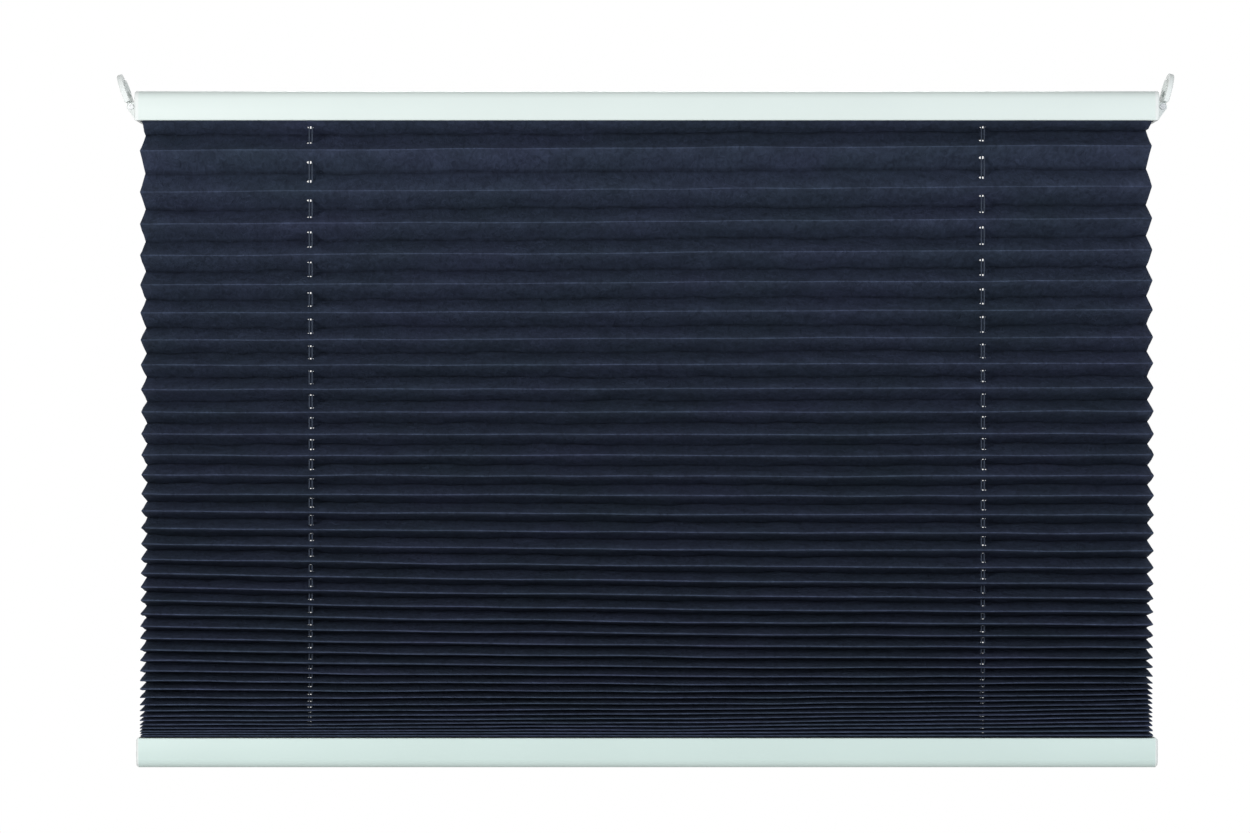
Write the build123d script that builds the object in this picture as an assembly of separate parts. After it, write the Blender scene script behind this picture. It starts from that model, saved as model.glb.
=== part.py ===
from build123d import *

import os
from math import asin, atan2, cos, hypot, sin, sqrt

# Pleated blind on two slim aluminium rails, drawn part of the way down.
# X runs along the rails, Y from the room side to the window side, and Z points up.
# The origin is the centre of the head rail's top face. All lengths are in millimetres.

# Rails: both are cut from one extrusion, and the bottom rail is turned upside down
rail_length = 496.0
rail_depth = 22.0
rail_height = 14.5
rail_wall = 1.1
rail_web = 0.9
rail_edge_radius = 4.0
lip_thickness = 0.9
lip_reach = 1.5
lip_edge_radius = 0.35
channel_height = 2.0
drop = 301.4

# Pleated fabric
fabric_end_inset = 1.0
fabric_thickness = 0.25
panel_depth = 20.0
fold_count = 40
first_pitch = 14.2
second_pitch = 19.8
closed_pitch = 1.4
pitch_power = 1.5
hole_radius = 1.85
hole_sides = 8

# Strips that clamp the ends of the fabric in the rails
strip_end_inset = 1.0
strip_thickness = 1.4
strip_side_gap = 0.3
strip_hole_radius = 2.2
glue_margin = 0.4
fold_lip_gap = 0.2
fold_rail_gap = 0.4

# Lift cords: two side by side in each column
column_inset = 83.0
cord_diameter = 0.7
cord_spacing = 1.4
knot_radius = 0.62
knot_length = 1.5
knot_edge = 0.3
knot_seat_gap = 0.05

# Cord eyelets and anchors
eyelet_bore_radius = 1.3
eyelet_tube_radius = 1.65
eyelet_flange_radius = 3.0
eyelet_fit_gap = 0.1
eyelet_setback = 0.3
anchor_length = 13.0
anchor_depth = 9.0
anchor_height = 3.0
anchor_edge_radius = 1.2
anchor_hole_radius = 0.5

# Cord spools in their cradles
cradle_base = 0.7
spool_running_gap = 0.3
spool_core_inset = 1.0
spool_journal_inset = 0.5
spool_flange_width = 1.2
spool_wind_length = 79.5
spool_outer_reach = 2.6
journal_length = 2.0
journal_clearance = 0.05
cradle_upright = 1.6
cradle_end_gap = 0.3
cradle_side_margin = 1.6
cradle_side_wall = 1.2
cradle_side_height = 1.6
cord_take_off_gap = 0.3
spool_cord_gap = 0.05

# Drive shaft and spring motor
shaft_across_flats = 2.6
shaft_fit_gap = 0.05
shaft_end_reach = 3.0
motor_length = 64.0
motor_depth = 11.6
motor_wall_gap = 0.85
motor_top_gap = 0.4
motor_edge_radius = 1.2
motor_rib_count = 9
motor_rib_width = 2.0
motor_rib_depth = 0.5
hub_radius = 2.5
hub_running_gap = 0.1
hub_collar_radius = 3.2
hub_collar_width = 1.2
hub_end_gap = 0.2

# End caps
head_cap_flange = 2.0
bottom_cap_flange = 1.2
cap_chamfer = 0.5
bottom_cap_chamfer = 0.8
plug_length = 9.0
plug_wall = 1.3
plug_clearance = 0.15

# Fixing ears, hinged on the head rail's end caps
pivot_reach = 2.4
pivot_below_top = 7.5
pin_radius = 1.0
pin_running_gap = 0.05
pin_seat_gap = 0.02
pin_head_radius = 1.5
pin_head_length = 0.6
lug_radius = 2.0
lug_thickness = 2.6
lug_foot_margin = 0.4
knuckle_width = 7.0
knuckle_side_gap = 0.15
ear_length = 17.4
ear_width = 19.0
ear_thickness = 2.4
ear_offset = 0.6
ear_foot_gap = 0.6
ear_neck_thickness = 1.8
ear_edge_radius = 0.7
ear_pad_radius = 4.6
ear_pad_height = 0.8
screw_radius = 1.75
screw_height = 10.0
screw_head_radius = 3.2
ear_lean = {"left": 20.0, "right": 15.0}

# Places that follow from the sizes above
fabric_width = rail_length - 2 * fabric_end_inset
strip_length = fabric_width - 2 * strip_end_inset
column_offset = rail_length / 2 - column_inset
chamber_height = rail_height - rail_wall - rail_web - channel_height - lip_thickness
chamber_top = -rail_wall
chamber_floor = chamber_top - chamber_height
channel_top = chamber_floor - rail_web
channel_floor = channel_top - channel_height
inner_depth = rail_depth - 2 * rail_wall
opening_depth = inner_depth - 2 * lip_reach
fold_mirror = -(rail_height + drop / 2)

shaft_height = (chamber_top + chamber_floor) / 2
flange_radius = chamber_height / 2 - cradle_base - spool_running_gap
core_radius = flange_radius - spool_core_inset
journal_radius = core_radius - spool_journal_inset
shaft_setback = core_radius + cord_diameter / 2 + spool_cord_gap
cord_outer = column_offset + cord_spacing / 2 + cord_diameter / 2
cord_inner = column_offset - cord_spacing / 2 - cord_diameter / 2

fabric_top = channel_floor + fabric_thickness / 2
fabric_bottom = 2 * fold_mirror - fabric_top
last_panel_rise = lip_thickness + fabric_thickness / 2 + fold_rail_gap
pivot_height = -pivot_below_top


def along_x(section, start, end):
    """Extrude a section drawn in the YZ plane from x = start to x = end."""
    return extrude(Plane.YZ.offset(start) * section, amount=end - start)


def along_y(section, start, end):
    """Extrude a section drawn in the XZ plane from y = start to y = end."""
    return extrude(Plane.XZ.offset(-end) * section, amount=end - start)


def along_z(section, start, end):
    """Extrude a section drawn in the XY plane from z = start to z = end."""
    return extrude(Plane.XY.offset(start) * section, amount=end - start)


def to_bottom_rail(shape):
    """The same piece in the bottom rail, which is the head rail upside down."""
    return mirror(shape, about=Plane.XY.offset(fold_mirror))


def to_left(shape):
    return mirror(shape, about=Plane.YZ)


def hexagon(across_flats):
    return RegularPolygon(across_flats / 2, 6, major_radius=False)


# Rails

def arched_block(depth, top, bottom, radius):
    """A rectangle in the YZ plane whose two upper corners are rounded."""
    block = Pos(0, (top + bottom) / 2) * Rectangle(depth, top - bottom)
    return fillet(block.vertices().group_by(Axis.Y)[-1], radius)


def rail_outline():
    block = arched_block(rail_depth, 0, -rail_height, rail_edge_radius)
    return fillet(block.vertices().group_by(Axis.Y)[0], lip_edge_radius)


def chamber_outline(gap=0.0):
    """The closed chamber of the rail, or a plug that fits it with a gap all round."""
    radius = rail_edge_radius - rail_wall - gap
    return arched_block(inner_depth - 2 * gap, chamber_top - gap, chamber_floor + gap, radius)


def rail_section():
    channel = Pos(0, (channel_top + channel_floor) / 2) * Rectangle(inner_depth, channel_height)
    opening = Pos(0, (channel_floor - rail_height) / 2) * Rectangle(opening_depth, lip_thickness)
    return rail_outline() - chamber_outline() - channel - opening


def rail():
    body = along_x(rail_section(), -rail_length / 2, rail_length / 2)
    for side in (-1, 1):
        hole = Pos(side * column_offset, 0) * Circle(eyelet_tube_radius + eyelet_fit_gap)
        body -= along_z(hole, channel_top, chamber_floor)
    return body


def fabric_strip():
    """The stiff strip that the end panel of the fabric is glued to."""
    depth = inner_depth - 2 * strip_side_gap
    low = channel_floor + fabric_thickness
    strip = Rectangle(strip_length, depth)
    for side in (-1, 1):
        strip -= Pos(side * column_offset, 0) * Circle(strip_hole_radius)
    return along_z(strip, low, low + strip_thickness)


# Fabric

def crest_heights():
    """Heights of the front creases, from the head rail's to the bottom rail's."""
    shares = [(1 - n / fold_count) ** pitch_power for n in range(3, fold_count)]
    last_pitch = closed_pitch / 2 + last_panel_rise
    middle = fabric_top - fabric_bottom - first_pitch - second_pitch - last_pitch
    free_height = middle - closed_pitch * len(shares)
    pitches = [closed_pitch + free_height * share / sum(shares) for share in shares]
    pitches = [first_pitch, second_pitch] + pitches + [last_pitch]
    heights = [fabric_top]
    for pitch in pitches:
        heights.append(heights[-1] - pitch)
    return heights


def half_fold(pitch):
    """Half the depth of a fold whose two panels span one pitch."""
    return sqrt(panel_depth ** 2 - (pitch / 2) ** 2) / 2


def crease_points():
    """The middle line of the fabric in the YZ plane, crease by crease."""
    crests = crest_heights()
    pitches = [high - low for high, low in zip(crests, crests[1:])]
    end_crest = -(opening_depth / 2 - fold_lip_gap)
    glue_end = inner_depth / 2 - strip_side_gap - glue_margin
    line = [Vector(glue_end, crests[0])]
    for index, height in enumerate(crests):
        if index in (0, fold_count):
            line.append(Vector(end_crest, height))
        else:
            line.append(Vector(-half_fold((pitches[index - 1] + pitches[index]) / 2), height))
        if index < fold_count - 1:
            line.append(Vector(half_fold(pitches[index]), height - pitches[index] / 2))
        elif index == fold_count - 1:
            line.append(Vector(half_fold(closed_pitch), height - closed_pitch / 2))
    line.append(Vector(glue_end, crests[-1]))
    return line


def normal_of(start, end):
    along = (end - start).normalized()
    return Vector(-along.Y, along.X)


def one_side(line, side):
    """The fabric's surface on one side: mitred inside each crease and bevelled outside it."""
    half = side * fabric_thickness / 2
    points = [line[0] + normal_of(line[0], line[1]) * half]
    for before, corner, after in zip(line, line[1:], line[2:]):
        to_before = (before - corner).normalized()
        to_after = (after - corner).normalized()
        inwards = (to_before + to_after).normalized()
        spread = abs(to_before.X * inwards.Y - to_before.Y * inwards.X)
        if normal_of(before, corner).dot(inwards) * side > 0:
            points.append(corner + inwards * (fabric_thickness / 2 / spread))
        else:
            points.append(corner + normal_of(before, corner) * half)
            points.append(corner + normal_of(corner, after) * half)
    points.append(line[-1] + normal_of(line[-2], line[-1]) * half)
    return points


def pleated_fabric():
    line = crease_points()
    outline = one_side(line, 1) + one_side(line, -1)[::-1]
    section = make_face(Polyline(*outline, close=True))
    cloth = along_x(section, -fabric_width / 2, fabric_width / 2)
    for side in (-1, 1):
        punch = Pos(side * column_offset, 0) * RegularPolygon(hole_radius, hole_sides)
        cloth -= along_z(punch, fabric_bottom - panel_depth, fabric_top + panel_depth)
    return cloth


# Cords and what guides them

def cord_eyelet():
    """Flanged bush through the web, the strip and the fabric's glued panel, on the right."""
    flange = along_z(Circle(eyelet_flange_radius), chamber_floor, chamber_floor + cradle_base)
    tube = along_z(Circle(eyelet_tube_radius), -rail_height + eyelet_setback, chamber_floor)
    bore = along_z(Circle(eyelet_bore_radius), -rail_height, 0)
    return Pos(column_offset, 0) * (flange + tube - bore)


def cord_anchor():
    """Block on the eyelet's flange in the bottom rail, drawn as if it were in the head rail."""
    seat = chamber_floor + cradle_base
    section = fillet(Rectangle(anchor_length, anchor_depth).vertices(), anchor_edge_radius)
    for side in (-1, 1):
        section -= Pos(side * cord_spacing / 2, 0) * Circle(anchor_hole_radius)
    return to_bottom_rail(Pos(column_offset, 0) * along_z(section, seat, seat + anchor_height))


def lift_cord(x):
    """Cord from the spool's take-off down to the knot under its anchor."""
    anchor_foot = 2 * fold_mirror - (chamber_floor + cradle_base + anchor_height)
    knot_top = anchor_foot - knot_seat_gap
    run = along_z(Circle(cord_diameter / 2), knot_top, shaft_height)
    knot = along_z(Circle(knot_radius), knot_top - knot_length, knot_top)
    knot = chamfer(knot.edges().filter_by(GeomType.CIRCLE), knot_edge)
    return Pos(x, 0) * (run + knot)


# Spools, cradles and drive: drawn on the right, turning about the shaft's axis

def on_shaft(section):
    return Pos(shaft_setback, shaft_height) * section


wind_outer = cord_inner - cord_take_off_gap
wind_inner = wind_outer - spool_wind_length
spool_outer = cord_outer + spool_outer_reach
spool_inner = wind_inner - spool_flange_width


def cord_spool():
    core = along_x(on_shaft(Circle(core_radius)), wind_inner, spool_outer - spool_flange_width)
    inner_flange = along_x(on_shaft(Circle(flange_radius)), spool_inner, wind_inner)
    outer_flange = along_x(
        on_shaft(Circle(flange_radius)), spool_outer - spool_flange_width, spool_outer
    )
    journals = along_x(
        on_shaft(Circle(journal_radius)), spool_inner - journal_length, spool_outer + journal_length
    )
    bore = along_x(
        on_shaft(hexagon(shaft_across_flats + 2 * shaft_fit_gap)),
        spool_inner - journal_length,
        spool_outer + journal_length,
    )
    return core + inner_flange + outer_flange + journals - bore


def wound_cord():
    """The wound turns of a column's two cords, as one sleeve on the spool's core."""
    turns = Circle(core_radius + cord_diameter) - Circle(core_radius)
    return along_x(on_shaft(turns), wind_inner, wind_outer)


def spool_cradle():
    """Tray on the rail's web, with two open bearings that the spool drops into."""
    inner = spool_inner - cradle_end_gap
    outer = spool_outer + cradle_end_gap
    front = -eyelet_flange_radius - cradle_side_margin
    back = shaft_setback + flange_radius + cradle_side_margin
    centre = (front + back) / 2
    tray = Pos((inner + outer) / 2, centre) * Rectangle(
        outer - inner + 2 * cradle_upright, back - front
    )
    tray -= Pos(column_offset, 0) * Circle(eyelet_flange_radius + eyelet_fit_gap)
    body = along_z(tray, chamber_floor, chamber_floor + cradle_base)
    rise = shaft_height + journal_radius
    upright = Pos(centre, (chamber_floor + rise) / 2) * Rectangle(back - front, rise - chamber_floor)
    bearing = on_shaft(Circle(journal_radius + journal_clearance))
    mouth = on_shaft(Pos(0, journal_radius) * Rectangle(2 * journal_radius, 2 * journal_radius))
    for start in (inner - cradle_upright, outer):
        body += along_x(upright - bearing - mouth, start, start + cradle_upright)
    for wall_start in (front, back - cradle_side_wall):
        wall = Pos((inner + outer) / 2, wall_start + cradle_side_wall / 2) * Rectangle(
            outer - inner, cradle_side_wall
        )
        body += along_z(wall, chamber_floor, chamber_floor + cradle_base + cradle_side_height)
    return body


def drive_shaft():
    reach = spool_outer + journal_length + shaft_end_reach
    return along_x(on_shaft(hexagon(shaft_across_flats)), -reach, reach)


def spring_motor():
    """Sealed spring motor on the rail's web, with the hub's running bore and ribs on its lid."""
    back = inner_depth / 2 - motor_wall_gap
    front = back - motor_depth
    top = chamber_top - motor_top_gap
    section = Pos((front + back) / 2, (top + chamber_floor) / 2) * Rectangle(
        back - front, top - chamber_floor
    )
    section = fillet(section.vertices().group_by(Axis.Y)[-1], motor_edge_radius)
    section -= on_shaft(Circle(hub_radius + hub_running_gap))
    body = along_x(section, -motor_length / 2, motor_length / 2)
    rib_pitch = motor_length / motor_rib_count
    grooves = GridLocations(rib_pitch, 1, motor_rib_count, 1)
    for place in grooves:
        slot = Rectangle(rib_pitch - motor_rib_width, motor_depth - 4 * motor_edge_radius)
        body -= along_z(
            Pos(place.position.X, (front + back) / 2) * slot, top - motor_rib_depth, top
        )
    return body


def spring_hub():
    """Hub of the motor, driven by the shaft and held by a collar at each end."""
    half = motor_length / 2 + hub_end_gap
    hub = along_x(on_shaft(Circle(hub_radius)), -half - hub_collar_width, half + hub_collar_width)
    for start in (-half - hub_collar_width, half):
        hub += along_x(on_shaft(Circle(hub_collar_radius)), start, start + hub_collar_width)
    bore = hexagon(shaft_across_flats + 2 * shaft_fit_gap)
    return hub - along_x(on_shaft(bore), -half - hub_collar_width, half + hub_collar_width)


# End caps and fixing ears, drawn on the right

def end_cap(flange, edge_chamfer):
    """Flange over the rail's end and a hollow plug inside its chamber."""
    face = rail_length / 2
    cover = arched_block(rail_depth, 0, -rail_height, rail_edge_radius)
    plate = along_x(cover, face, face + flange)
    plate = chamfer(plate.faces().sort_by(Axis.X)[-1].edges(), edge_chamfer)
    plug = along_x(chamber_outline(plug_clearance), face - plug_length, face)
    hollow = along_x(chamber_outline(plug_clearance + plug_wall), face - plug_length, face)
    return plate + (plug - hollow)


def lug_section():
    """A hinge lug with its gusset, in the XZ plane: round the pin and down to the cap's foot."""
    cap_face = rail_length / 2 + head_cap_flange
    foot = Vector(cap_face, -rail_height + lug_foot_margin)
    pivot = Vector(cap_face + pivot_reach, pivot_height)
    span = hypot(pivot_reach, pivot_height - foot.Y)
    slope = atan2(pivot_height - foot.Y, pivot_reach) - asin(lug_radius / span)
    edge = sqrt(span ** 2 - lug_radius ** 2)
    tangent = foot + Vector(cos(slope), sin(slope)) * edge
    root = cap_face - head_cap_flange / 2
    gusset = Polyline(
        (root, foot.Y),
        foot,
        tangent,
        pivot,
        (pivot.X, pivot.Y + lug_radius),
        (root, pivot.Y + lug_radius),
        close=True,
    )
    return make_face(gusset) + Pos(pivot.X, pivot.Y) * Circle(lug_radius)


def head_cap():
    cap = end_cap(head_cap_flange, cap_chamfer)
    pivot = Pos(rail_length / 2 + head_cap_flange + pivot_reach, pivot_height)
    lug = lug_section() - pivot * Circle(pin_radius + pin_seat_gap)
    inner = knuckle_width / 2 + knuckle_side_gap
    for start in (-inner - lug_thickness, inner):
        cap += along_y(lug, start, start + lug_thickness)
    return cap


def ear():
    """Fixing ear about its hinge axis: it stands along +Z, and its outer face looks along +X."""
    foot = lug_radius + ear_foot_gap
    shoulder = ear_length - ear_width / 2
    tab = Pos(0, (foot + shoulder) / 2) * Rectangle(ear_width, shoulder - foot)
    tab += Pos(0, shoulder) * Circle(ear_width / 2)
    tab -= Pos(0, foot - ear_width / 2) * Rectangle(ear_width, ear_width)
    inner = ear_offset - ear_thickness / 2
    plate = along_x(tab, inner, inner + ear_thickness)
    plate = fillet(plate.faces().sort_by(Axis.X)[-1].edges(), ear_edge_radius)
    pad = along_x(Pos(0, screw_height) * Circle(ear_pad_radius), inner - ear_pad_height, inner)
    pad = chamfer(pad.faces().sort_by(Axis.X)[0].edges(), ear_pad_height / 2)
    knuckle = along_y(Circle(lug_radius), -knuckle_width / 2, knuckle_width / 2)
    neck_shape = Pos(ear_offset, foot / 2) * Rectangle(ear_neck_thickness, foot)
    neck = along_y(neck_shape, -knuckle_width / 2, knuckle_width / 2)
    body = plate + pad + knuckle + neck
    body -= along_y(Circle(pin_radius + pin_running_gap), -knuckle_width / 2, knuckle_width / 2)
    screw_hole = along_x(Pos(0, screw_height) * Circle(screw_radius), -ear_width, ear_width)
    sink_depth = screw_head_radius - screw_radius
    sink = Pos(inner - ear_pad_height + sink_depth / 2, 0, screw_height) * Rot(0, 90, 0) * Cone(
        screw_head_radius, screw_radius, sink_depth
    )
    return body - screw_hole - sink


def ear_at(side):
    lean = ear_lean[side]
    reach = rail_length / 2 + head_cap_flange + pivot_reach
    placed = Pos(reach, 0, pivot_height) * Rot(0, lean, 0) * ear()
    return placed if side == "right" else to_left(placed)


def ear_pin():
    """Hinge pin with a small head against the front lug."""
    reach = rail_length / 2 + head_cap_flange + pivot_reach
    half = knuckle_width / 2 + knuckle_side_gap + lug_thickness
    shank = along_y(Circle(pin_radius), -half, half)
    head = along_y(Circle(pin_head_radius), -half - pin_head_length, -half)
    return Pos(reach, 0, pivot_height) * (shank + head)


def both_sides(name, shape):
    return {f"{name}_left": to_left(shape), f"{name}_right": shape}


def all_parts():
    parts = {
        "head_rail": rail(),
        "bottom_rail": to_bottom_rail(rail()),
        "head_fabric_strip": fabric_strip(),
        "bottom_fabric_strip": to_bottom_rail(fabric_strip()),
        "pleated_fabric": pleated_fabric(),
        "drive_shaft": drive_shaft(),
        "spring_motor": spring_motor(),
        "spring_hub": spring_hub(),
    }
    parts.update(both_sides("head_end_cap", head_cap()))
    bottom_cap = to_bottom_rail(end_cap(bottom_cap_flange, bottom_cap_chamfer))
    parts.update(both_sides("bottom_end_cap", bottom_cap))
    parts.update(both_sides("ear_pin", ear_pin()))
    parts.update(both_sides("head_cord_eyelet", cord_eyelet()))
    parts.update(both_sides("bottom_cord_eyelet", to_bottom_rail(cord_eyelet())))
    parts.update(both_sides("cord_anchor", cord_anchor()))
    parts.update(both_sides("spool_cradle", spool_cradle()))
    parts.update(both_sides("cord_spool", cord_spool()))
    parts.update(both_sides("wound_cord", wound_cord()))
    for place, shift in (("inner", -cord_spacing / 2), ("outer", cord_spacing / 2)):
        parts.update(both_sides(f"lift_cord_{place}", lift_cord(column_offset + shift)))
    for side in ear_lean:
        parts[f"fixing_ear_{side}"] = ear_at(side)
    return parts


os.makedirs("parts", exist_ok=True)
for node, shape in all_parts().items():
    export_step(shape, f"parts/{node}.step")
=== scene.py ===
"""Pleated blind: finishes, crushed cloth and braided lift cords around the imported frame."""

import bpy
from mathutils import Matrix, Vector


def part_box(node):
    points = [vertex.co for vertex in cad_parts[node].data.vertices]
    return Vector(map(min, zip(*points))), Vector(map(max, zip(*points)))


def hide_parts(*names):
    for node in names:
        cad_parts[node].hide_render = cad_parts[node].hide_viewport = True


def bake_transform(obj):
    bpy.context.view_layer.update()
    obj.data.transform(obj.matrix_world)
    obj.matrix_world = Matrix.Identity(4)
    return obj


bl_info = {
    "name": "Pleated Blind",
    "version": (1, 0, 0),
    "blender": (4, 5, 0),
    "location": "View3D > Sidebar > Blind",
    "description": "Dresses a pleated blind: coated rails, crushed cloth, cords and fittings",
    "category": "Object",
}

from math import cos, exp, hypot, pi, radians, sin, sqrt

import bpy
from bpy.props import FloatProperty, IntProperty, StringProperty
from mathutils import Vector, noise

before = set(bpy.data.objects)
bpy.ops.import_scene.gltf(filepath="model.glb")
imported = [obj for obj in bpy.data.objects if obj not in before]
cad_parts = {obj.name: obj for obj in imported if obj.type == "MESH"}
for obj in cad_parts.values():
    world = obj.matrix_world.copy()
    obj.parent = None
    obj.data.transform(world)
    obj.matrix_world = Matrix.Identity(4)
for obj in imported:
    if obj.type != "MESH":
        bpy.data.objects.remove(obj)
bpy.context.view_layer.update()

MM = 0.001
SIDES = ("left", "right")


# Places read from the frame, in metres
FABRIC_LOW, FABRIC_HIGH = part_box("pleated_fabric")
RAIL_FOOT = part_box("head_rail")[0].z
RAIL_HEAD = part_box("bottom_rail")[1].z
EYELET_LOW, EYELET_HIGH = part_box("head_cord_eyelet_right")
COLUMN = (EYELET_LOW.x + EYELET_HIGH.x) / 2

# The pleats' law, which is the source's own
FOLD_COUNT = 40
FIRST_PITCH = 14.2 * MM
SECOND_PITCH = 19.8 * MM
CLOSED_PITCH = 1.4 * MM
PITCH_POWER = 1.5
LAST_PANEL_RISE = 1.425 * MM
END_CREST = -8.2 * MM
GLUE_END = 9.2 * MM

# How the hung cloth departs from even folds, as swells of (amount, middle, width) in mm:
# one side lower than the other, both sides against the middle, all of it, the first valley,
# and sideways
SIDE_TILT = ((1.4, -55, 80), (-2.6, -252, 46), (2.6, -304, 14))
SIDE_BOW = ((1.2, -270, 75),)
SETTLE = ((-1.7, -112, 55), (0.3, -212, 30), (-1.3, -288, 16))
TUCKED_VALLEY = ((1.8, -20.7, 5),)
SIDEWAYS = ((0.9, -190, 90),)
SIDEWAYS_START = -0.55

# Its uneven waves, as (amount, length across, length down, seed); lengths are in mm
DRAPE = ((0.35, 90, 70, 3.1), (0.15, 34, 26, 8.7))
CREASE_WAVE = ((1.0, 42, 9, 2.3),)
VALLEY_WAVE = ((1.0, 9, 11, 6.6),)
DEPTH_WAVE = ((1.0, 70, 9, 5.5),)
CRUMPLES = ((1.0, 17, 13, 1.7), (0.7, 6, 7, 4.2))

# The braid and the knot of a lift cord
BRAID_PITCH = 2.4 * MM
BRAID_RELIEF = 0.05
STRANDS = 4
CORD_CORNERS = 12
RING_STEP = 0.5 * MM
KNOT_LENGTH = 1.5 * MM
KNOT_RINGS = 8

# The stage, in metres: the camera stands where the photo's stood
FLOOR_HEIGHT = -1.45
FLOOR_RADIUS = 9.0
CAMERA_PLACE = (-0.0107, -1.560, -0.1590)
CAMERA_LENS = 91.5
CLOTH_MIDDLE = (0, 0, -0.16)


class BlindSizes(bpy.types.PropertyGroup):
    cloth_thickness: FloatProperty(
        name="Cloth thickness", description="Thickness of the pleated cloth",
        default=0.25 * MM, unit="LENGTH", precision=5,
    )
    panel_depth: FloatProperty(
        name="Panel depth", description="Width of one panel between two creases",
        default=20 * MM, unit="LENGTH", precision=4,
    )
    crease_depth: FloatProperty(
        name="Crease depth", description="How far a pressed crease's bend reaches back",
        default=0.12 * MM, unit="LENGTH", precision=5,
    )
    crease_half_height: FloatProperty(
        name="Crease half height", description="Half the height of a pressed crease's bend",
        default=0.15 * MM, unit="LENGTH", precision=5,
    )
    valley_sharpness: FloatProperty(
        name="Valley bend share", description="Size of a valley's bend as a share of a crest's",
        default=0.4, min=0.1, max=1.0,
    )
    column_step: FloatProperty(
        name="Cloth column step", description="Spacing of the cloth mesh along the blind",
        default=5 * MM, unit="LENGTH", precision=4,
    )
    hole_radius: FloatProperty(
        name="Punched hole radius", description="Radius of the holes that the cords run through",
        default=1.4 * MM, unit="LENGTH", precision=5,
    )
    hole_corners: IntProperty(
        name="Punched hole corners", description="Points round each punched hole",
        default=16, min=8,
    )
    hole_margin: FloatProperty(
        name="Punched hole margin", description="Half the square of cloth that holds a hole",
        default=3.3 * MM, unit="LENGTH", precision=4,
    )
    cord_diameter: FloatProperty(
        name="Cord diameter", description="Diameter of one lift cord",
        default=0.78 * MM, unit="LENGTH", precision=5,
    )


class BlindColours(bpy.types.PropertyGroup):
    coat: StringProperty(
        name="Head rail coat", description="sRGB hex colour of the head rail", default="E5F0EC"
    )
    # Painted shade: the bottom rail has the same powder coat as the head rail, painted darker
    # where less light reaches it
    bottom_coat_painted_shade: StringProperty(
        name="Bottom rail coat", description="sRGB hex colour of the rail that is pulled by hand",
        default="D4E6E1",
    )
    plastic: StringProperty(
        name="White plastic", description="sRGB hex colour of caps and ears", default="EEF3F1"
    )
    cloth: StringProperty(
        name="Cloth", description="sRGB hex colour of the pleated cloth", default="384154"
    )
    cord: StringProperty(
        name="Cord", description="sRGB hex colour of the lift cords", default="3A4352"
    )


def linear(hex_colour):
    """An sRGB hex colour as the linear RGBA that shaders take."""
    channels = [int(hex_colour[i:i + 2], 16) / 255 for i in (0, 2, 4)]
    return tuple(
        c / 12.92 if c <= 0.04045 else ((c + 0.055) / 1.055) ** 2.4 for c in channels
    ) + (1.0,)


# Materials

def add_node(material, kind, inputs=None, **settings):
    """Adds a node, gives it its settings, and fills or links its inputs."""
    node = material.node_tree.nodes.new(kind)
    for name, value in settings.items():
        setattr(node, name, value)
    for socket, value in (inputs or {}).items():
        if isinstance(value, bpy.types.NodeSocket):
            material.node_tree.links.new(value, node.inputs[socket])
        else:
            node.inputs[socket].default_value = value
    return node


def new_material(name, **constants):
    """A material with a Principled shader whose named sockets hold these constants."""
    material = bpy.data.materials.new(name)
    material.use_nodes = True
    shader = material.node_tree.nodes["Principled BSDF"]
    for socket, value in constants.items():
        shader.inputs[socket.replace("_", " ")].default_value = value
    return material, shader


def per_mm(spacing_mm):
    """Noise scale on metre coordinates for features of that spacing."""
    return 1 / (spacing_mm * MM)


def shade_of(material, shader, hex_colour, mask, low, high):
    """Lets a mask vary the colour's brightness from low to high times its value."""
    span = add_node(
        material, "ShaderNodeMapRange", {"Value": mask, "To Min": low, "To Max": high}
    )
    tint = add_node(
        material, "ShaderNodeHueSaturation",
        {"Color": linear(hex_colour), "Value": span.outputs[0]},
    )
    material.node_tree.links.new(tint.outputs[0], shader.inputs["Base Color"])


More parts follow.
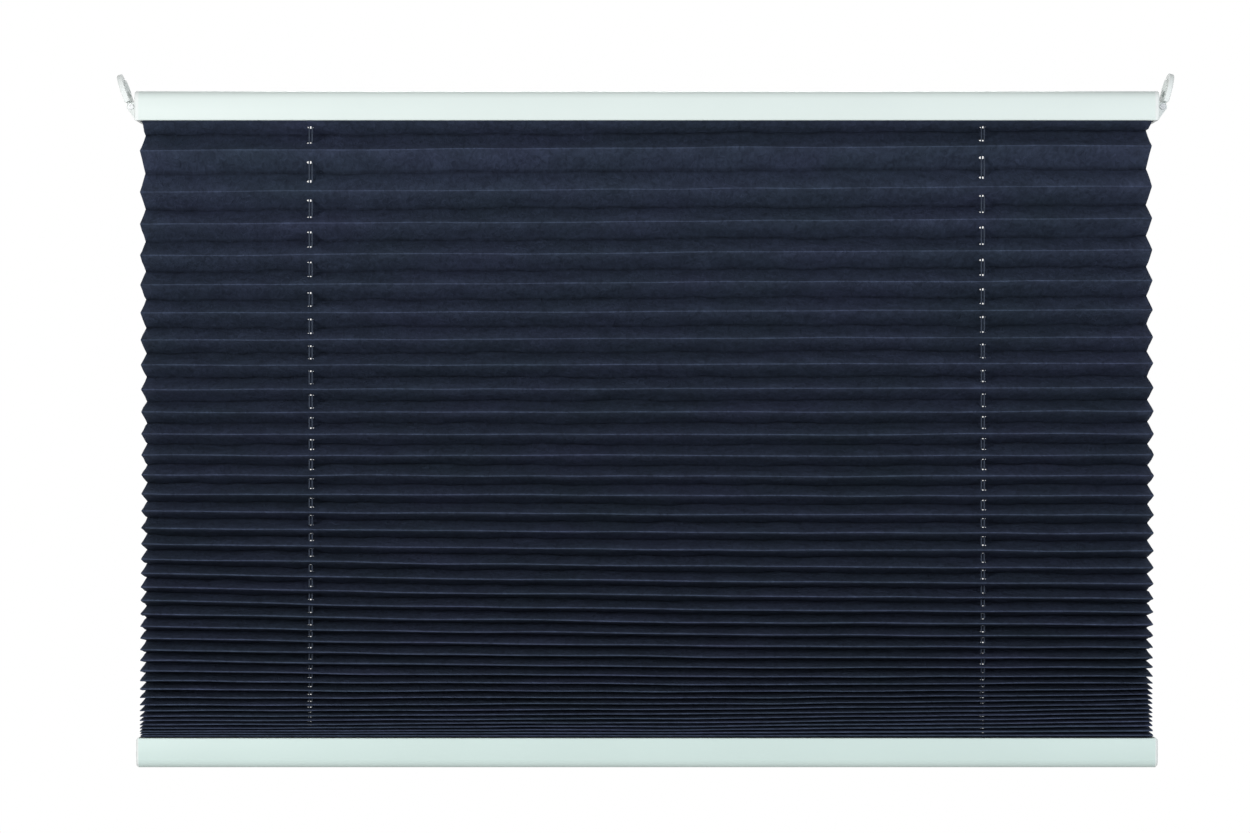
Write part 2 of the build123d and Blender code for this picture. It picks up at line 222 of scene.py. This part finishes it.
def powder_coat(name, hex_colour, foot, head):
    """Satin powder coat on extruded aluminium: soft gloss over a faint orange peel."""
    material, shader = new_material(name, IOR=1.5)
    place = add_node(material, "ShaderNodeTexCoord").outputs["Object"]
    peel = add_node(
        material, "ShaderNodeTexNoise",
        {"Vector": place, "Scale": per_mm(1.1), "Detail": 3.0, "Roughness": 0.45},
    )
    # The extrusion's die lines run along the rail, far finer than they are drawn here
    stretched = add_node(
        material, "ShaderNodeMapping", {"Vector": place, "Scale": (0.01, 1.0, 1.0)}
    )
    die_lines = add_node(
        material, "ShaderNodeTexNoise",
        {"Vector": stretched.outputs[0], "Scale": per_mm(1.6), "Detail": 2.0},
    )
    cloud = add_node(
        material, "ShaderNodeTexNoise", {"Vector": place, "Scale": per_mm(45), "Detail": 2.0}
    )
    shade_of(material, shader, hex_colour, cloud.outputs["Fac"], 0.97, 1.02)
    gloss = add_node(
        material, "ShaderNodeMapRange",
        {"Value": peel.outputs["Fac"], "To Min": 0.28, "To Max": 0.4},
    )
    material.node_tree.links.new(gloss.outputs[0], shader.inputs["Roughness"])
    grain = add_node(
        material, "ShaderNodeMath", {0: peel.outputs["Fac"], 1: 0.6, 2: die_lines.outputs["Fac"]},
        operation="MULTIPLY_ADD",
    )
    bump = add_node(
        material, "ShaderNodeBump",
        {"Height": grain.outputs[0], "Distance": 0.02 * MM, "Strength": 0.25},
    )
    # The rail's tall faces are a little crowned, which grades the light from lip to top
    split = add_node(material, "ShaderNodeSeparateXYZ", {"Vector": place})
    across = add_node(
        material, "ShaderNodeMapRange",
        {"Value": split.outputs["Z"], "From Min": foot, "From Max": head, "To Min": -1.0,
         "To Max": 1.0},
    )
    dome = add_node(
        material, "ShaderNodeMath", {0: across.outputs[0], 1: across.outputs[0]},
        operation="MULTIPLY",
    )
    crown = add_node(
        material, "ShaderNodeBump",
        {"Height": dome.outputs[0], "Distance": 0.7 * MM, "Strength": 1.0,
         "Normal": bump.outputs[0]},
        invert=True,
    )
    material.node_tree.links.new(crown.outputs[0], shader.inputs["Normal"])
    return material


def moulded_plastic(name, hex_colour, roughness, grain_mm, grain_depth_mm):
    """Injection-moulded plastic: fine spark-eroded grain, faint flow clouds, soft gloss."""
    material, shader = new_material(name, IOR=1.46)
    place = add_node(material, "ShaderNodeTexCoord").outputs["Object"]
    grain = add_node(
        material, "ShaderNodeTexNoise",
        {"Vector": place, "Scale": per_mm(grain_mm), "Detail": 2.0},
    )
    flow = add_node(
        material, "ShaderNodeTexNoise",
        {"Vector": place, "Scale": per_mm(9), "Detail": 2.0, "Distortion": 0.8},
    )
    shade_of(material, shader, hex_colour, flow.outputs["Fac"], 0.96, 1.02)
    gloss = add_node(
        material, "ShaderNodeMapRange",
        {"Value": grain.outputs["Fac"], "To Min": roughness - 0.06, "To Max": roughness + 0.08},
    )
    material.node_tree.links.new(gloss.outputs[0], shader.inputs["Roughness"])
    bump = add_node(
        material, "ShaderNodeBump",
        {"Height": grain.outputs["Fac"], "Distance": grain_depth_mm * MM, "Strength": 0.4},
    )
    material.node_tree.links.new(bump.outputs[0], shader.inputs["Normal"])
    return material


def drawn_metal(name, hex_colour, roughness, along):
    """Bright drawn metal: fine drawing lines along the bar's own axis."""
    material, shader = new_material(name, Metallic=1.0)
    place = add_node(material, "ShaderNodeTexCoord").outputs["Object"]
    squeeze = tuple(0.02 if axis == along else 1.0 for axis in "XYZ")
    stretched = add_node(material, "ShaderNodeMapping", {"Vector": place, "Scale": squeeze})
    lines = add_node(
        material, "ShaderNodeTexNoise",
        {"Vector": stretched.outputs[0], "Scale": per_mm(0.25), "Detail": 3.0},
    )
    shade_of(material, shader, hex_colour, lines.outputs["Fac"], 0.88, 1.06)
    gloss = add_node(
        material, "ShaderNodeMapRange",
        {"Value": lines.outputs["Fac"], "To Min": roughness - 0.08, "To Max": roughness + 0.1},
    )
    material.node_tree.links.new(gloss.outputs[0], shader.inputs["Roughness"])
    bump = add_node(
        material, "ShaderNodeBump",
        {"Height": lines.outputs["Fac"], "Distance": 0.01 * MM, "Strength": 0.6},
    )
    material.node_tree.links.new(bump.outputs[0], shader.inputs["Normal"])
    return material


def crushed_cloth(name, hex_colour, panel_depth):
    """Crushed crepe polyester: matt navy, mottled by fine wrinkles that were set in for good."""
    material, shader = new_material(name, Roughness=0.85, IOR=1.45, Specular_IOR_Level=0.15)
    links = material.node_tree.links
    flat = add_node(material, "ShaderNodeUVMap").outputs["UV"]
    # Wrinkles about 2.5 mm apart run down the panels and soon break off
    stretched = add_node(material, "ShaderNodeMapping", {"Vector": flat, "Scale": (1.0, 0.5, 1.0)})
    crush = add_node(
        material, "ShaderNodeTexNoise",
        {"Vector": stretched.outputs[0], "Scale": per_mm(2.5), "Detail": 4.0,
         "Roughness": 0.62, "Distortion": 0.9},
    ).outputs["Fac"]
    # Bruises where the crushing flattened the crepe, and broader shades of the dye
    bruise = add_node(
        material, "ShaderNodeTexNoise",
        {"Vector": flat, "Scale": per_mm(12), "Detail": 3.0, "Roughness": 0.6},
    ).outputs["Fac"]
    dye = add_node(
        material, "ShaderNodeTexNoise", {"Vector": flat, "Scale": per_mm(70), "Detail": 2.0}
    ).outputs["Fac"]
    # The yarns are about 0.15 mm apart and are drawn at 0.45 mm so that they show
    yarn = add_node(
        material, "ShaderNodeTexNoise", {"Vector": flat, "Scale": per_mm(0.45), "Detail": 1.0}
    ).outputs["Fac"]
    # Each noise keeps to the middle of its range, so that is what gets spread
    spans = {}
    for name, mask, low, high in (
        ("crush", crush, 0.72, 1.34), ("bruise", bruise, 0.86, 1.16), ("dye", dye, 0.9, 1.1),
        ("wear_and_highlight", bruise, 0.0, 0.2), ("hue", dye, 0.488, 0.512),
    ):
        spans[name] = add_node(
            material, "ShaderNodeMapRange",
            {"Value": mask, "From Min": 0.3, "From Max": 0.7, "To Min": low, "To Max": high},
        ).outputs[0]
    # Front creases lie a whole number of folds down the cloth, and are painted a little pale:
    # partly wear of the pressed crease, partly a painted highlight where the crest catches the
    # light
    split = add_node(material, "ShaderNodeSeparateXYZ", {"Vector": flat})
    fold = add_node(
        material, "ShaderNodeMath", {0: split.outputs["Y"], 1: panel_depth, 2: -panel_depth},
        operation="WRAP",
    )
    off = add_node(material, "ShaderNodeMath", {0: fold.outputs[0]}, operation="ABSOLUTE")
    pale_crest_mask = add_node(
        material, "ShaderNodeMapRange",
        {"Value": off.outputs[0], "From Min": 0.15 * MM, "From Max": 0.5 * MM,
         "To Min": 1.0, "To Max": 0.0},
        interpolation_type="SMOOTHSTEP",
    )
    # Painted shade: the back creases are darkened in a narrow band with a ragged edge, where shade
    # falls in the valleys
    reach = add_node(
        material, "ShaderNodeMath", {0: crush, 1: 3.5 * MM, 2: off.outputs[0]},
        operation="MULTIPLY_ADD",
    )
    tucked = add_node(
        material, "ShaderNodeMapRange",
        {"Value": reach.outputs[0], "From Min": panel_depth - 1.6 * MM,
         "From Max": panel_depth + 1.0 * MM, "To Min": 1.0, "To Max": 0.72},
        interpolation_type="SMOOTHSTEP",
    )
    # The colour's value: crush, bruises and dye, times the painted valley shade
    shade = spans["crush"]
    for factor in (spans["bruise"], spans["dye"], tucked.outputs[0]):
        shade = add_node(
            material, "ShaderNodeMath", {0: shade, 1: factor}, operation="MULTIPLY"
        ).outputs[0]
    # The pale creases, wear and painted highlight, are added onto the value
    value = add_node(
        material, "ShaderNodeMath", {0: pale_crest_mask.outputs[0], 1: spans["wear_and_highlight"], 2: shade},
        operation="MULTIPLY_ADD",
    )
    colour = add_node(
        material, "ShaderNodeHueSaturation",
        {"Color": linear(hex_colour), "Value": value.outputs[0],
         "Hue": spans["hue"]},
    )
    links.new(colour.outputs[0], shader.inputs["Base Color"])
    relief = add_node(
        material, "ShaderNodeMath", {0: yarn, 1: 0.15, 2: crush}, operation="MULTIPLY_ADD"
    )
    bump = add_node(
        material, "ShaderNodeBump",
        {"Height": relief.outputs[0], "Distance": 0.7 * MM, "Strength": 1.0},
    )
    links.new(bump.outputs[0], shader.inputs["Normal"])
    return material


def braided_cord(name, hex_colour):
    """Braided polyester cord: matt dark strands crossing in a fine diamond pattern."""
    material, shader = new_material(name, Roughness=0.7, Specular_IOR_Level=0.3)
    place = add_node(material, "ShaderNodeTexCoord").outputs["Object"]
    fibre = add_node(
        material, "ShaderNodeTexNoise",
        {"Vector": place, "Scale": per_mm(0.12), "Detail": 2.0},
    )
    strand = add_node(
        material, "ShaderNodeTexNoise", {"Vector": place, "Scale": per_mm(0.9), "Detail": 1.0}
    )
    mask = add_node(
        material, "ShaderNodeMath", {0: fibre.outputs["Fac"], 1: strand.outputs["Fac"]},
        operation="MULTIPLY",
    )
    shade_of(material, shader, hex_colour, mask.outputs[0], 0.6, 2.2)
    bump = add_node(
        material, "ShaderNodeBump",
        {"Height": fibre.outputs["Fac"], "Distance": 0.05 * MM, "Strength": 0.8},
    )
    material.node_tree.links.new(bump.outputs[0], shader.inputs["Normal"])
    return material


def dress(material, *names):
    """Gives CAD nodes this material and nothing else."""
    for name in names:
        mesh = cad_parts[name].data
        mesh.materials.clear()
        mesh.materials.append(material)


def on_both_sides(name):
    return [f"{name}_{side}" for side in SIDES]


# Pleated cloth

def creases(sizes):
    """Crease points (y, z) down the cloth, from the glued end in the head rail to the other."""
    half_cloth = sizes.cloth_thickness / 2
    top = FABRIC_HIGH.z - half_cloth
    foot = FABRIC_LOW.z + half_cloth
    shares = [(1 - n / FOLD_COUNT) ** PITCH_POWER for n in range(3, FOLD_COUNT)]
    last_pitch = CLOSED_PITCH / 2 + LAST_PANEL_RISE
    middle = top - foot - FIRST_PITCH - SECOND_PITCH - last_pitch
    free_height = middle - CLOSED_PITCH * len(shares)
    pitches = [CLOSED_PITCH + free_height * share / sum(shares) for share in shares]
    pitches = [FIRST_PITCH, SECOND_PITCH] + pitches + [last_pitch]

    def reach(pitch):
        return sqrt(sizes.panel_depth ** 2 - (pitch / 2) ** 2) / 2

    points = [(GLUE_END, top), (END_CREST, top)]
    height = top
    for index, pitch in enumerate(pitches):
        drawn = pitch if index < FOLD_COUNT - 1 else CLOSED_PITCH
        points.append((reach(drawn), height - drawn / 2))
        height -= pitch
        if index < FOLD_COUNT - 1:
            points.append((-reach((pitch + pitches[index + 1]) / 2), height))
    return points + [(END_CREST, foot), (GLUE_END, foot)]


def swell(height, humps):
    """The sum, in mm, of smooth humps at this height."""
    return sum(
        amount * exp(-((height - middle * MM) / (width * MM)) ** 2)
        for amount, middle, width in humps
    )


def smooth(share):
    share = min(max(share, 0.0), 1.0)
    return share * share * (3 - 2 * share)


def edge_fade(height):
    """0 at the rails and 1 a little way from them."""
    return smooth((RAIL_FOOT - height) / (8 * MM)) * smooth((height - RAIL_HEAD) / (5 * MM))


def ripple(x, y, waves):
    """The sum of uneven waves at this place, each with its own lengths and seed."""
    return sum(
        amount * noise.noise(Vector((x / (across * MM), y / (down * MM), seed)))
        for amount, across, down, seed in waves
    )


def hang(x, y, z, down, room):
    """How a point of the evenly folded cloth moves as the cloth really hangs."""
    side = x / FABRIC_HIGH.x
    depth = max(y, 0.0) / (10 * MM)
    tilt = swell(z, SIDE_TILT) * side + swell(z, SIDE_BOW) * side ** 2
    tucked = swell(z, TUCKED_VALLEY) * depth
    lift = (tilt + swell(z, SETTLE) + ripple(x, z, DRAPE) + tucked) * MM
    # Each crease waves by itself, and the valleys are more ragged than the crests
    lift += min(0.45 * MM, 0.15 * room) * ripple(x, down, CREASE_WAVE)
    lift += min(0.9 * MM, 0.14 * room) * depth * ripple(x, down, VALLEY_WAVE)
    drift = (SIDEWAYS_START + swell(z, SIDEWAYS)) * MM
    wander = 0.3 * MM * ripple(x, z, DEPTH_WAVE)
    fade = edge_fade(z)
    return Vector((x + drift * fade, y + wander * fade, z + lift * fade))


def crumple(x, down, room):
    """Small bulges of a panel off its plane, as large as the gap to its neighbour allows."""
    return min(0.8 * MM, 0.06 * room) * ripple(x, down, CRUMPLES)


def cloth_columns(sizes):
    """Places along x of the cloth's mesh, with a cell of its own for each column of holes."""
    half_width = FABRIC_HIGH.x
    stops = [-half_width]
    for centre in (-COLUMN, COLUMN):
        stops += [centre - sizes.hole_margin, centre + sizes.hole_margin]
    stops.append(half_width)
    columns = [stops[0]]
    for index, (start, end) in enumerate(zip(stops, stops[1:])):
        steps = 1 if index in (1, 3) else round((end - start) / sizes.column_step)
        columns += [start + (end - start) * n / steps for n in range(1, steps + 1)]
    return columns


class Cloth:
    """Collects the cloth's points, its faces and each point's place on the flat cloth."""

    def __init__(self, columns):
        self.columns = columns
        self.points = []
        self.flat = []
        self.faces = []
        self.room = 0.0

    def add(self, x, y, z, down):
        self.points.append(hang(x, y, z, down, self.room))
        self.flat.append((x, down))
        return len(self.points) - 1

    def row(self, y, z, down, shift=None):
        """One line of points across the cloth; shift moves each along the panel's normal."""
        made = []
        for x in self.columns:
            dy, dz = shift(x, down) if shift else (0.0, 0.0)
            made.append(self.add(x, y + dy, z + dz, down))
        return made

    def join(self, above, below, skip=()):
        for n in range(len(self.columns) - 1):
            if n not in skip:
                self.faces.append((above[n], below[n], below[n + 1], above[n + 1]))


def panel_rows(cloth, start, end, down, sizes, holes, curled):
    """The rows of one panel between two creases, with its two punched holes."""
    (y0, z0), (y1, z1) = start, end
    forward = 1 if y1 > y0 else -1

    def bend(y):
        """Depth and half height of the bend at a crease, which is sharper in a valley."""
        share = 0.0 if not curled else 1.0 if y < 0 else sizes.valley_sharpness
        return sizes.crease_depth * share, sizes.crease_half_height * share

    back, rise = bend(y0)
    ya, za = y0 + forward * back, z0 - rise
    back, rise = bend(y1)
    yb, zb = y1 - forward * back, z1 + rise
    length = hypot(yb - ya, zb - za)
    normal = (-(zb - za) / length, (yb - ya) / length)

    def at(t):
        return ya + (yb - ya) * t, za + (zb - za) * t

    def bulge(t):
        window = sin(pi * t)

        def shift(x, down):
            off = crumple(x, down, cloth.room) * window
            return normal[0] * off, normal[1] * off

        return shift

    centre = -ya / (yb - ya)
    margin = sizes.hole_margin / length
    steps = [0.0, centre - margin, centre + margin, 1.0]
    rows = [
        cloth.row(*at(t), down + sizes.panel_depth * t, bulge(t) if 0 < t < 1 else None)
        for t in steps
    ]
    for index, (above, below) in enumerate(zip(rows, rows[1:])):
        cloth.join(above, below, holes if index == 1 else ())
    shift = bulge(centre)
    for cell in holes:
        middle = (cloth.columns[cell] + cloth.columns[cell + 1]) / 2
        dy, dz = shift(middle, down + sizes.panel_depth * centre)
        ring = []
        for n in range(sizes.hole_corners):
            angle = 2 * pi * (n + 0.5) / sizes.hole_corners
            t = centre + sizes.hole_radius * cos(angle) / length
            y, z = at(t)
            x = middle + sizes.hole_radius * sin(angle)
            ring.append(cloth.add(x, y + dy, z + dz, down + sizes.panel_depth * t))
        corners = [rows[2][cell + 1], rows[1][cell + 1], rows[1][cell], rows[2][cell]]
        quarter = sizes.hole_corners // 4
        # Going round from straight down the cloth, each corner takes a quarter of the ring
        for n in range(sizes.hole_corners):
            here, there = ring[n], ring[(n + 1) % sizes.hole_corners]
            corner = corners[n // quarter]
            cloth.faces.append((there, here, corner))
            if (n + 1) % quarter == 0:
                cloth.faces.append((there, corner, corners[(n // quarter + 1) % 4]))
    return rows[0], rows[-1]


def build_cloth_mesh(sizes):
    """Every panel in turn, joined to the next by the tip of the crease between them."""
    line = creases(sizes)
    columns = cloth_columns(sizes)
    middles = [(left + right) / 2 for left, right in zip(columns, columns[1:])]
    holes = [n for n, middle in enumerate(middles) if abs(abs(middle) - COLUMN) < 0.1 * MM]
    cloth = Cloth(columns)
    last_row = None
    last_panel = len(line) - 2
    for index, (start, end) in enumerate(zip(line, line[1:])):
        down = (index - 1) * sizes.panel_depth
        cloth.room = 2 * abs(end[1] - start[1])
        glued = index in (0, last_panel)
        first, last = panel_rows(cloth, start, end, down, sizes, holes, curled=not glued)
        if last_row is not None:
            tip = cloth.row(start[0], start[1], down)
            cloth.join(last_row, tip)
            cloth.join(tip, first)
        last_row = last
    return cloth


def select_only(*objects):
    bpy.ops.object.select_all(action="DESELECT")
    for item in objects:
        item.select_set(True)
    bpy.context.view_layer.objects.active = objects[0]


def keep_between_rails(piece):
    """Bakes the piece's placement into its mesh."""
    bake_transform(piece)


class BLIND_OT_pleated_cloth(bpy.types.Operator):
    """Folds the crushed cloth between the rails, with its punched holes"""

    bl_idname = "blind.pleated_cloth"
    bl_label = "Pleated Cloth"

    def execute(self, context):
        sizes = context.scene.blind_sizes
        colours = context.scene.blind_colours
        cloth = build_cloth_mesh(sizes)
        mesh = bpy.data.meshes.new("crushed_pleats")
        mesh.from_pydata(cloth.points, [], cloth.faces)
        uv = mesh.uv_layers.new(name="flat_cloth")
        for loop in mesh.loops:
            uv.data[loop.index].uv = cloth.flat[loop.vertex_index]
        piece = bpy.data.objects.new("crushed_pleats", mesh)
        context.scene.collection.objects.link(piece)
        select_only(piece)
        shell = piece.modifiers.new("thickness", "SOLIDIFY")
        shell.thickness = sizes.cloth_thickness
        shell.offset = 0.0
        bpy.ops.object.modifier_apply(modifier=shell.name)
        bpy.ops.object.shade_smooth_by_angle(angle=radians(22))
        piece.data.materials.append(
            crushed_cloth("crushed_crepe_polyester", colours.cloth, sizes.panel_depth)
        )
        cut_length = sizes.panel_depth * (len(creases(sizes)) - 1)
        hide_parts("pleated_fabric")
        keep_between_rails(piece)
        return {"FINISHED"}


# Lift cords

def cord_rings(top, knot_top, knot_foot, radius, knot_radius):
    """(height, radius) of each ring down a cord, with its knot at the foot."""
    count = round((top - knot_top) / RING_STEP)
    rings = [(top - (top - knot_top) * n / count, radius) for n in range(count + 1)]
    for n in range(1, KNOT_RINGS):
        share = n / KNOT_RINGS
        swollen = radius + (knot_radius - radius) * sin(pi * share) ** 0.5
        rings.append((knot_top - (knot_top - knot_foot) * share, swollen))
    return rings + [(knot_foot, radius * 0.6)]


def braided_mesh(name, middle, rings):
    """A closed tube through the rings, with the braid's strands standing out of it."""
    points, faces = [], []
    for height, radius in rings:
        for n in range(CORD_CORNERS):
            angle = 2 * pi * n / CORD_CORNERS
            turn = height / BRAID_PITCH * 2 * pi
            strands = sin(STRANDS * angle + turn) * sin(STRANDS * angle - turn)
            r = radius * (1 + BRAID_RELIEF * strands)
            points.append((middle + r * cos(angle), r * sin(angle), height))
    for ring in range(len(rings) - 1):
        for n in range(CORD_CORNERS):
            a = ring * CORD_CORNERS + n
            b = ring * CORD_CORNERS + (n + 1) % CORD_CORNERS
            faces.append((a, a + CORD_CORNERS, b + CORD_CORNERS, b))
    faces.append(tuple(range(CORD_CORNERS)))
    faces.append(tuple(reversed(range(len(points) - CORD_CORNERS, len(points)))))
    mesh = bpy.data.meshes.new(name)
    mesh.from_pydata(points, [], faces)
    mesh.shade_smooth()
    return mesh


class BLIND_OT_lift_cords(bpy.types.Operator):
    """Makes the four braided lift cords, taut from their spools to their knots"""

    bl_idname = "blind.lift_cords"
    bl_label = "Lift Cords"

    def execute(self, context):
        sizes = context.scene.blind_sizes
        material = braided_cord("braided_polyester", context.scene.blind_colours.cord)
        for node in on_both_sides("lift_cord_inner") + on_both_sides("lift_cord_outer"):
            low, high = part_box(node)
            rings = cord_rings(
                high.z, low.z + KNOT_LENGTH, low.z, sizes.cord_diameter / 2,
                (high.x - low.x) / 2,
            )
            name = node.replace("lift_cord", "braided_cord")
            mesh = braided_mesh(name, (low.x + high.x) / 2, rings)
            mesh.materials.append(material)
            piece = bpy.data.objects.new(name, mesh)
            context.scene.collection.objects.link(piece)
            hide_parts(node)
            keep_between_rails(piece)
        dress(material, *on_both_sides("wound_cord"))
        return {"FINISHED"}


class BLIND_OT_rails(bpy.types.Operator):
    """Coats the two extruded rails"""

    bl_idname = "blind.rails"
    bl_label = "Coated Rails"

    def execute(self, context):
        colours = context.scene.blind_colours
        # The bottom rail's darker coat is painted shade
        for rail, colour in (("head_rail", colours.coat), ("bottom_rail", colours.bottom_coat_painted_shade)):
            low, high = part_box(rail)
            dress(powder_coat(f"satin_powder_coat_{rail}", colour, low.z, high.z), rail)
        return {"FINISHED"}


class BLIND_OT_caps_and_ears(bpy.types.Operator):
    """Finishes the moulded end caps, the hinged fixing ears and their pins"""

    bl_idname = "blind.caps_and_ears"
    bl_label = "Caps and Ears"

    def execute(self, context):
        colours = context.scene.blind_colours
        plastic = moulded_plastic("white_moulded_abs", colours.plastic, 0.38, 1.6, 0.01)
        steel = drawn_metal("drawn_steel_pin", "C0C2C3", 0.4, "Y")
        for name in ("head_end_cap", "bottom_end_cap", "fixing_ear"):
            dress(plastic, *on_both_sides(name))
        dress(steel, *on_both_sides("ear_pin"))
        return {"FINISHED"}


class BLIND_OT_cord_drive(bpy.types.Operator):
    """Finishes the shaft, spools, cradles, spring motor, eyelets, anchors and cloth strips"""

    bl_idname = "blind.cord_drive"
    bl_label = "Cord Drive"

    def execute(self, context):
        acetal = moulded_plastic("natural_acetal", "DADCD8", 0.34, 0.5, 0.015)
        grey = moulded_plastic("grey_moulded_nylon", "85888C", 0.5, 0.3, 0.03)
        extruded = moulded_plastic("extruded_pvc_strip", "D8D8D0", 0.45, 1.2, 0.02)
        shaft = drawn_metal("drawn_aluminium_shaft", "D9DADB", 0.26, "X")
        dress(acetal, *on_both_sides("cord_spool"), "spring_hub")
        dress(acetal, *on_both_sides("head_cord_eyelet"), *on_both_sides("bottom_cord_eyelet"))
        dress(acetal, *on_both_sides("cord_anchor"))
        dress(grey, *on_both_sides("spool_cradle"), "spring_motor")
        dress(extruded, "head_fabric_strip", "bottom_fabric_strip")
        dress(shaft, "drive_shaft")
        return {"FINISHED"}


def softbox(name, place, width, height, power, colour):
    """A soft rectangular studio light at a place, turned to the middle of the cloth."""
    data = bpy.data.lights.new(name, "AREA")
    data.shape = "RECTANGLE"
    data.size = width
    data.size_y = height
    data.energy = power
    data.color = linear(colour)[:3]
    lamp = bpy.data.objects.new(name, data)
    lamp.location = place
    direction = Vector(CLOTH_MIDDLE) - Vector(place)
    lamp.rotation_euler = direction.to_track_quat("-Z", "Y").to_euler()
    bpy.context.scene.collection.objects.link(lamp)
    return lamp


class BLIND_OT_studio(bpy.types.Operator):
    """Sets the pale studio: floor, soft light, white surround and the camera"""

    bl_idname = "blind.studio"
    bl_label = "Studio"

    def execute(self, context):
        scene = context.scene
        bpy.ops.object.select_all(action="DESELECT")
        bpy.ops.mesh.primitive_circle_add(
            vertices=96, radius=FLOOR_RADIUS, fill_type="NGON", location=(0, 0, 0)
        )
        floor = context.object
        floor.name = "studio_floor"
        for vertex in floor.data.vertices:
            vertex.co.z = FLOOR_HEIGHT
        floor.data.materials.append(pale_floor("pale_paper_floor"))
        scene.world = studio_surround("studio_surround")
        softbox("key_left", (-0.75, -1.05, -0.1), 0.4, 0.4, 8.2, "FFFFFF")
        softbox("fill_right", (0.8, -1.0, -0.1), 0.6, 0.5, 5.8, "F6FAFF")
        softbox("back_fill", (0, 1.3, 0.8), 0.8, 0.5, 6.0, "FFFFFF")
        camera_data = bpy.data.cameras.new("photo_camera")
        camera_data.lens = CAMERA_LENS
        camera_data.sensor_width = 36.0
        camera = bpy.data.objects.new("photo_camera", camera_data)
        camera.location = CAMERA_PLACE
        camera.rotation_euler = (radians(90), 0, 0)
        scene.collection.objects.link(camera)
        scene.camera = camera
        scene.view_settings.view_transform = "Standard"
        return {"FINISHED"}


def studio_surround(name):
    """A white backdrop that lights the blind from behind, in a room that is dim elsewhere."""
    world = bpy.data.worlds.new(name)
    world.use_nodes = True
    direction = add_node(world, "ShaderNodeTexCoord").outputs["Generated"]
    split = add_node(world, "ShaderNodeSeparateXYZ", {"Vector": direction})
    wall = add_node(
        world, "ShaderNodeMapRange",
        {"Value": split.outputs["Y"], "From Min": 0.55, "From Max": 0.9, "To Max": 0.8},
        interpolation_type="SMOOTHSTEP",
    )
    room = add_node(
        world, "ShaderNodeMapRange",
        {"Value": split.outputs["Z"], "From Min": -1.0, "From Max": 1.0, "To Min": 0.2,
         "To Max": 0.4},
    )
    light = add_node(
        world, "ShaderNodeMath", {0: wall.outputs[0], 1: room.outputs[0]}, operation="MAXIMUM"
    )
    seen = add_node(world, "ShaderNodeLightPath").outputs["Is Camera Ray"]
    strength = add_node(
        world, "ShaderNodeMath", {0: light.outputs[0], 1: seen}, operation="MAXIMUM"
    )
    background = world.node_tree.nodes["Background"]
    background.inputs["Color"].default_value = (1.0, 1.0, 1.0, 1.0)
    world.node_tree.links.new(strength.outputs[0], background.inputs["Strength"])
    return world


def pale_floor(name):
    """Matt white paper that looks lit from below and fades out before the floor's far edge."""
    material, shader = new_material(
        name, Roughness=0.9, Specular_IOR_Level=0.2, Emission_Color=(1.0, 1.0, 1.0, 1.0)
    )
    seen = add_node(material, "ShaderNodeLightPath").outputs["Is Camera Ray"]
    glow = add_node(material, "ShaderNodeMath", {0: seen, 1: 0.4}, operation="MULTIPLY")
    material.node_tree.links.new(glow.outputs[0], shader.inputs["Emission Strength"])
    place = add_node(material, "ShaderNodeTexCoord").outputs["Object"]
    mottle = add_node(
        material, "ShaderNodeTexNoise", {"Vector": place, "Scale": per_mm(60), "Detail": 3.0}
    )
    shade_of(material, shader, "F1F1F0", mottle.outputs["Fac"], 0.98, 1.01)
    flat = add_node(
        material, "ShaderNodeVectorMath", {0: place, 1: (1.0, 1.0, 0.0)}, operation="MULTIPLY"
    )
    reach = add_node(
        material, "ShaderNodeVectorMath", {0: flat.outputs[0]}, operation="LENGTH"
    )
    fade = add_node(
        material, "ShaderNodeMapRange",
        {"Value": reach.outputs["Value"], "From Min": 2.0, "From Max": 7.5,
         "To Min": 1.0, "To Max": 0.0},
        interpolation_type="SMOOTHSTEP",
    )
    material.node_tree.links.new(fade.outputs[0], shader.inputs["Alpha"])
    return material


class BLIND_PT_sidebar(bpy.types.Panel):
    """Lists the blind's steps, sizes and colours"""

    bl_idname = "BLIND_PT_sidebar"
    bl_label = "Pleated Blind"
    bl_space_type = "VIEW_3D"
    bl_region_type = "UI"
    bl_category = "Blind"

    def draw(self, context):
        layout = self.layout
        for step in STEPS:
            layout.operator(step.bl_idname)
        for group in (context.scene.blind_sizes, context.scene.blind_colours):
            box = layout.box()
            for name in group.__annotations__:
                box.prop(group, name)


STEPS = (
    BLIND_OT_rails,
    BLIND_OT_caps_and_ears,
    BLIND_OT_cord_drive,
    BLIND_OT_pleated_cloth,
    BLIND_OT_lift_cords,
    BLIND_OT_studio,
)
CLASSES = (BlindSizes, BlindColours, *STEPS, BLIND_PT_sidebar)


def register():
    for item in CLASSES:
        bpy.utils.register_class(item)
    bpy.types.Scene.blind_sizes = bpy.props.PointerProperty(type=BlindSizes)
    bpy.types.Scene.blind_colours = bpy.props.PointerProperty(type=BlindColours)


def unregister():
    del bpy.types.Scene.blind_colours
    del bpy.types.Scene.blind_sizes
    for item in reversed(CLASSES):
        bpy.utils.unregister_class(item)


def main():
    register()
    bpy.ops.blind.rails()
    bpy.ops.blind.caps_and_ears()
    bpy.ops.blind.cord_drive()
    bpy.ops.blind.pleated_cloth()
    bpy.ops.blind.lift_cords()
    bpy.ops.blind.studio()


if __name__ == "__main__":
    main()
